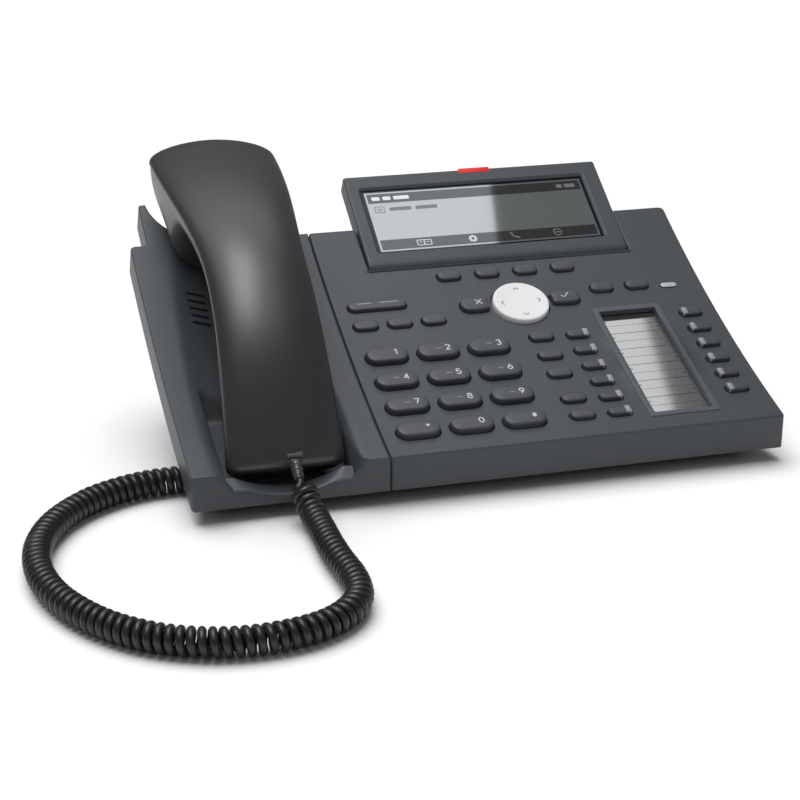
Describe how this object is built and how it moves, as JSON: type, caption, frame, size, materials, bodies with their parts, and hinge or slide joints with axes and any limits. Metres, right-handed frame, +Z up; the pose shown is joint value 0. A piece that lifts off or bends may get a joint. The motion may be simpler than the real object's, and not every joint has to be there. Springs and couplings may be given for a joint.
{
  "type": "desk telephone",
  "caption": "Desk telephone: sloping keypad panel with tilting display, cradle with curly-cord handset, foot stand.",
  "frame": {"origin": "bottom centre of the telephone without its cord, on the desk", "axes": "+X right as the user sees it, +Y away from the user, +Z up"},
  "size_m": [0.321, 0.2822, 0.1181],
  "materials": {
    "housing_plastic": "fine matte texture",
    "panel_plastic": "fine matte texture",
    "key_plastic": "satin, printed legends",
    "disc_plastic": "satin white",
    "handset_plastic": "soft satin",
    "lcd": "clear window over a grey screen",
    "lamp_red": "clear red",
    "stand_plastic": "matte",
    "foot_rubber": "matte",
    "board": "solder-masked board",
    "mat_rubber": "silicone",
    "label": "paper under a clear cover",
    "cord": "semi-gloss cord jacket",
    "plug_clear": "translucent plug"
  },
  "bodies": {
    "root": {"base_housing": "housing_plastic", "cradle_cover": "panel_plastic", "key_panel": "panel_plastic", "foot_stand": "stand_plastic", "feet_and_screws": "foot_rubber", "main_board": "board", "keypad_mat": "mat_rubber", "label_insert": "label", "handset_cord": "cord", "base_plug": "plug_clear"},
    "display": {"display_bezel": "panel_plastic", "display_back_cover": "housing_plastic", "lcd_module": "lcd", "alert_lamp": "lamp_red"},
    "handset": {"handset_outer_shell": "handset_plastic", "handset_inner_shell": "handset_plastic", "handset_plug": "plug_clear"},
    "hook": {"hook_switch": "stand_plastic"},
    "nav": {"nav_disc": "disc_plastic"},
    "key_1_body": {"key_1": "key_plastic"},
    "key_2_body": {"key_2": "key_plastic"},
    "key_3_body": {"key_3": "key_plastic"},
    "key_4_body": {"key_4": "key_plastic"},
    "key_5_body": {"key_5": "key_plastic"},
    "key_6_body": {"key_6": "key_plastic"},
    "key_7_body": {"key_7": "key_plastic"},
    "key_8_body": {"key_8": "key_plastic"},
    "key_9_body": {"key_9": "key_plastic"},
    "key_star_body": {"key_star": "key_plastic"},
    "key_0_body": {"key_0": "key_plastic"},
    "key_hash_body": {"key_hash": "key_plastic"},
    "soft_key_1_body": {"soft_key_1": "key_plastic"},
    "soft_key_2_body": {"soft_key_2": "key_plastic"},
    "soft_key_3_body": {"soft_key_3": "key_plastic"},
    "soft_key_4_body": {"soft_key_4": "key_plastic"},
    "bar_key_body": {"bar_key": "key_plastic"},
    "list_key_1_body": {"list_key_1": "key_plastic"},
    "list_key_2_body": {"list_key_2": "key_plastic"},
    "list_key_3_body": {"list_key_3": "key_plastic"},
    "cancel_key_body": {"cancel_key": "key_plastic"},
    "ok_key_body": {"ok_key": "key_plastic"},
    "upper_key_1_body": {"upper_key_1": "key_plastic"},
    "upper_key_2_body": {"upper_key_2": "key_plastic"},
    "side_key_1_body": {"side_key_1": "key_plastic"},
    "side_key_2_body": {"side_key_2": "key_plastic"},
    "side_key_3_body": {"side_key_3": "key_plastic"},
    "lower_key_1_body": {"lower_key_1": "key_plastic"},
    "lower_key_2_body": {"lower_key_2": "key_plastic"},
    "function_key_1_body": {"function_key_1": "key_plastic"},
    "function_key_2_body": {"function_key_2": "key_plastic"},
    "function_key_3_body": {"function_key_3": "key_plastic"},
    "function_key_4_body": {"function_key_4": "key_plastic"},
    "function_key_5_body": {"function_key_5": "key_plastic"},
    "function_key_6_body": {"function_key_6": "key_plastic"},
    "function_key_7_body": {"function_key_7": "key_plastic"},
    "function_key_8_body": {"function_key_8": "key_plastic"},
    "function_key_9_body": {"function_key_9": "key_plastic"},
    "function_key_10_body": {"function_key_10": "key_plastic"},
    "function_key_11_body": {"function_key_11": "key_plastic"},
    "function_key_12_body": {"function_key_12": "key_plastic"}
  },
  "joints": [
    {"name": "display_tilt", "type": "hinge", "parent": "root", "child": "display", "pos_m": [0.0381, 0.03513, 0.06252], "axis": [1, 0, 0], "range_deg": [-5, 30]},
    {"name": "handset_lift", "type": "slide", "parent": "root", "child": "handset", "axis": [0, 0, 1], "range_m": [0, 0.08]},
    {"name": "hook_travel", "type": "slide", "parent": "root", "child": "hook", "axis": [0, -0.4764, 0.8793], "range_m": [0, 0.0016]},
    {"name": "nav_disc_rock", "type": "hinge", "parent": "root", "child": "nav", "pos_m": [0.03782, 0.00423, 0.04709], "axis": [1, 0, 0], "range_deg": [-2, 2], "stiffness_Nm_per_rad": 0.03},
    {"name": "key_1_press", "type": "slide", "parent": "root", "child": "key_1_body", "axis": [0, 0.3713, -0.9285], "range_m": [0, 0.0012], "stiffness_N_per_m": 250},
    {"name": "key_2_press", "type": "slide", "parent": "root", "child": "key_2_body", "axis": [0, 0.3713, -0.9285], "range_m": [0, 0.0012], "stiffness_N_per_m": 250},
    {"name": "key_3_press", "type": "slide", "parent": "root", "child": "key_3_body", "axis": [0, 0.3713, -0.9285], "range_m": [0, 0.0012], "stiffness_N_per_m": 250},
    {"name": "key_4_press", "type": "slide", "parent": "root", "child": "key_4_body", "axis": [0, 0.3462, -0.9382], "range_m": [0, 0.0012], "stiffness_N_per_m": 250},
    {"name": "key_5_press", "type": "slide", "parent": "root", "child": "key_5_body", "axis": [0, 0.3462, -0.9382], "range_m": [0, 0.0012], "stiffness_N_per_m": 250},
    {"name": "key_6_press", "type": "slide", "parent": "root", "child": "key_6_body", "axis": [0, 0.3462, -0.9382], "range_m": [0, 0.0012], "stiffness_N_per_m": 250},
    {"name": "key_7_press", "type": "slide", "parent": "root", "child": "key_7_body", "axis": [0, 0.3209, -0.9471], "range_m": [0, 0.0012], "stiffness_N_per_m": 250},
    {"name": "key_8_press", "type": "slide", "parent": "root", "child": "key_8_body", "axis": [0, 0.3209, -0.9471], "range_m": [0, 0.0012], "stiffness_N_per_m": 250},
    {"name": "key_9_press", "type": "slide", "parent": "root", "child": "key_9_body", "axis": [0, 0.3209, -0.9471], "range_m": [0, 0.0012], "stiffness_N_per_m": 250},
    {"name": "key_star_press", "type": "slide", "parent": "root", "child": "key_star_body", "axis": [0, 0.2953, -0.9554], "range_m": [0, 0.0012], "stiffness_N_per_m": 250},
    {"name": "key_0_press", "type": "slide", "parent": "root", "child": "key_0_body", "axis": [0, 0.2953, -0.9554], "range_m": [0, 0.0012], "stiffness_N_per_m": 250},
    {"name": "key_hash_press", "type": "slide", "parent": "root", "child": "key_hash_body", "axis": [0, 0.2953, -0.9554], "range_m": [0, 0.0012], "stiffness_N_per_m": 250},
    {"name": "soft_key_1_press", "type": "slide", "parent": "root", "child": "soft_key_1_body", "axis": [0, 0.4432, -0.8964], "range_m": [0, 0.0012], "stiffness_N_per_m": 250},
    {"name": "soft_key_2_press", "type": "slide", "parent": "root", "child": "soft_key_2_body", "axis": [0, 0.4432, -0.8964], "range_m": [0, 0.0012], "stiffness_N_per_m": 250},
    {"name": "soft_key_3_press", "type": "slide", "parent": "root", "child": "soft_key_3_body", "axis": [0, 0.4432, -0.8964], "range_m": [0, 0.0012], "stiffness_N_per_m": 250},
    {"name": "soft_key_4_press", "type": "slide", "parent": "root", "child": "soft_key_4_body", "axis": [0, 0.4432, -0.8964], "range_m": [0, 0.0012], "stiffness_N_per_m": 250},
    {"name": "bar_key_press", "type": "slide", "parent": "root", "child": "bar_key_body", "axis": [0, 0.4209, -0.9071], "range_m": [0, 0.0012], "stiffness_N_per_m": 250},
    {"name": "list_key_1_press", "type": "slide", "parent": "root", "child": "list_key_1_body", "axis": [0, 0.4026, -0.9154], "range_m": [0, 0.0012], "stiffness_N_per_m": 250},
    {"name": "list_key_2_press", "type": "slide", "parent": "root", "child": "list_key_2_body", "axis": [0, 0.4026, -0.9154], "range_m": [0, 0.0012], "stiffness_N_per_m": 250},
    {"name": "list_key_3_press", "type": "slide", "parent": "root", "child": "list_key_3_body", "axis": [0, 0.4026, -0.9154], "range_m": [0, 0.0012], "stiffness_N_per_m": 250},
    {"name": "cancel_key_press", "type": "slide", "parent": "root", "child": "cancel_key_body", "axis": [0, 0.413, -0.9107], "range_m": [0, 0.0012], "stiffness_N_per_m": 250},
    {"name": "ok_key_press", "type": "slide", "parent": "root", "child": "ok_key_body", "axis": [0, 0.4124, -0.911], "range_m": [0, 0.0012], "stiffness_N_per_m": 250},
    {"name": "upper_key_1_press", "type": "slide", "parent": "root", "child": "upper_key_1_body", "axis": [0, 0.42, -0.9075], "range_m": [0, 0.0012], "stiffness_N_per_m": 250},
    {"name": "upper_key_2_press", "type": "slide", "parent": "root", "child": "upper_key_2_body", "axis": [0, 0.42, -0.9075], "range_m": [0, 0.0012], "stiffness_N_per_m": 250},
    {"name": "side_key_1_press", "type": "slide", "parent": "root", "child": "side_key_1_body", "axis": [0, 0.3771, -0.9262], "range_m": [0, 0.0012], "stiffness_N_per_m": 250},
    {"name": "side_key_2_press", "type": "slide", "parent": "root", "child": "side_key_2_body", "axis": [0, 0.358, -0.9337], "range_m": [0, 0.0012], "stiffness_N_per_m": 250},
    {"name": "side_key_3_press", "type": "slide", "parent": "root", "child": "side_key_3_body", "axis": [0, 0.3389, -0.9408], "range_m": [0, 0.0012], "stiffness_N_per_m": 250},
    {"name": "lower_key_1_press", "type": "slide", "parent": "root", "child": "lower_key_1_body", "axis": [0, 0.3124, -0.9499], "range_m": [0, 0.0012], "stiffness_N_per_m": 250},
    {"name": "lower_key_2_press", "type": "slide", "parent": "root", "child": "lower_key_2_body", "axis": [0, 0.2946, -0.9556], "range_m": [0, 0.0012], "stiffness_N_per_m": 250},
    {"name": "function_key_1_press", "type": "slide", "parent": "root", "child": "function_key_1_body", "axis": [0, 0.376, -0.9266], "range_m": [0, 0.0012], "stiffness_N_per_m": 250},
    {"name": "function_key_2_press", "type": "slide", "parent": "root", "child": "function_key_2_body", "axis": [0, 0.3598, -0.933], "range_m": [0, 0.0012], "stiffness_N_per_m": 250},
    {"name": "function_key_3_press", "type": "slide", "parent": "root", "child": "function_key_3_body", "axis": [0, 0.3435, -0.9392], "range_m": [0, 0.0012], "stiffness_N_per_m": 250},
    {"name": "function_key_4_press", "type": "slide", "parent": "root", "child": "function_key_4_body", "axis": [0, 0.327, -0.945], "range_m": [0, 0.0012], "stiffness_N_per_m": 250},
    {"name": "function_key_5_press", "type": "slide", "parent": "root", "child": "function_key_5_body", "axis": [0, 0.3104, -0.9506], "range_m": [0, 0.0012], "stiffness_N_per_m": 250},
    {"name": "function_key_6_press", "type": "slide", "parent": "root", "child": "function_key_6_body", "axis": [0, 0.2938, -0.9559], "range_m": [0, 0.0012], "stiffness_N_per_m": 250},
    {"name": "function_key_7_press", "type": "slide", "parent": "root", "child": "function_key_7_body", "axis": [0, 0.3879, -0.9217], "range_m": [0, 0.0012], "stiffness_N_per_m": 250},
    {"name": "function_key_8_press", "type": "slide", "parent": "root", "child": "function_key_8_body", "axis": [0, 0.3718, -0.9283], "range_m": [0, 0.0012], "stiffness_N_per_m": 250},
    {"name": "function_key_9_press", "type": "slide", "parent": "root", "child": "function_key_9_body", "axis": [0, 0.3555, -0.9347], "range_m": [0, 0.0012], "stiffness_N_per_m": 250},
    {"name": "function_key_10_press", "type": "slide", "parent": "root", "child": "function_key_10_body", "axis": [0, 0.3391, -0.9407], "range_m": [0, 0.0012], "stiffness_N_per_m": 250},
    {"name": "function_key_11_press", "type": "slide", "parent": "root", "child": "function_key_11_body", "axis": [0, 0.3227, -0.9465], "range_m": [0, 0.0012], "stiffness_N_per_m": 250},
    {"name": "function_key_12_press", "type": "slide", "parent": "root", "child": "function_key_12_body", "axis": [0, 0.3061, -0.952], "range_m": [0, 0.0012], "stiffness_N_per_m": 250}
  ],
  "couplings": [
    {"joint": "hook_travel", "follows": "handset_lift", "ratio": 0.02}
  ]
}
